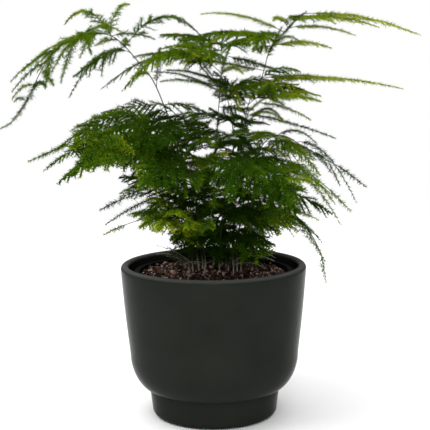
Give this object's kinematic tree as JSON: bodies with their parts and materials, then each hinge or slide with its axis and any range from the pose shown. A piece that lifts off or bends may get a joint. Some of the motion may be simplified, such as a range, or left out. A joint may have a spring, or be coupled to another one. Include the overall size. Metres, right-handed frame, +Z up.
{
  "type": "potted asparagus fern",
  "caption": "Asparagus fern with arching stems and flat feathery sprays, in a nursery pot inside a dark round ceramic pot with a narrower foot.",
  "frame": {"origin": "centre of the ceramic pot's flat underside, on the surface that the pot stands on", "axes": "+Z up along the pot's axis, -Y towards the front that the picture shows, +X to the right in that view"},
  "size_m": [0.3912, 0.3082, 0.4192],
  "materials": {
    "pot_ceramic": "matte",
    "nursery_plastic": "satin",
    "potting_mix": "matte",
    "foliage_arch_left": "matte",
    "foliage_plume_right": "matte",
    "foliage_tall_centre": "matte",
    "foliage_thin_centre": "matte",
    "foliage_broad_left": "matte",
    "foliage_thin_left": "matte",
    "foliage_pale_right": "matte",
    "foliage_weeping_high": "matte",
    "foliage_weeping_middle": "matte",
    "foliage_weeping_low": "matte",
    "foliage_low_left": "matte",
    "foliage_bright_left": "matte",
    "foliage_front_centre": "matte",
    "foliage_front_right": "matte",
    "foliage_front_left": "matte",
    "foliage_back_left": "matte",
    "foliage_back_right": "matte",
    "foliage_back_centre": "matte",
    "foliage_back_low_left": "matte",
    "foliage_back_low_right": "matte"
  },
  "bodies": {
    "root": {"pot": "pot_ceramic", "nursery_pot": "nursery_plastic", "soil": "potting_mix", "frond_arch_left": "foliage_arch_left", "frond_plume_right": "foliage_plume_right", "frond_tall_centre": "foliage_tall_centre", "frond_thin_centre": "foliage_thin_centre", "frond_broad_left": "foliage_broad_left", "frond_thin_left": "foliage_thin_left", "frond_pale_right": "foliage_pale_right", "frond_weeping_high": "foliage_weeping_high", "frond_weeping_middle": "foliage_weeping_middle", "frond_weeping_low": "foliage_weeping_low", "frond_low_left": "foliage_low_left", "frond_bright_left": "foliage_bright_left", "frond_front_centre": "foliage_front_centre", "frond_front_right": "foliage_front_right", "frond_front_left": "foliage_front_left", "frond_back_left": "foliage_back_left", "frond_back_right": "foliage_back_right", "frond_back_centre": "foliage_back_centre", "frond_back_low_left": "foliage_back_low_left", "frond_back_low_right": "foliage_back_low_right"}
  },
  "joints": []
}
